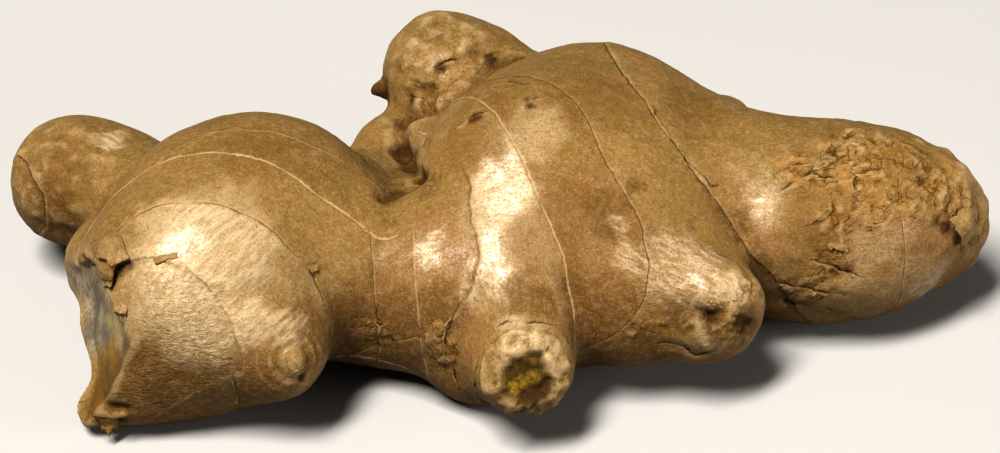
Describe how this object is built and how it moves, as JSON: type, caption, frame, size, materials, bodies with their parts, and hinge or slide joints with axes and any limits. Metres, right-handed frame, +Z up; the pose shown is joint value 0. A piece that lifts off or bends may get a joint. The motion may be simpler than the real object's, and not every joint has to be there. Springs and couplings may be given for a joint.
{
  "type": "ginger root",
  "caption": "Knobbly fresh ginger rhizome with blunt swollen fingers, fine growth rings, a broken end face and small flats underneath where it rests.",
  "frame": {"origin": "under the middle of the root's outline, on the surface it rests on", "axes": "+X along the root's length, from the broken end towards the long right-hand finger; +Y towards the back knobs; +Z up"},
  "size_m": [0.1546, 0.0816, 0.0408],
  "materials": {
    "ginger_skin": "thin dry golden-tan skin with a soft sheen, brown speckle and fine cream growth rings"
  },
  "bodies": {
    "root": {"rhizome": "ginger_skin"}
  },
  "joints": []
}
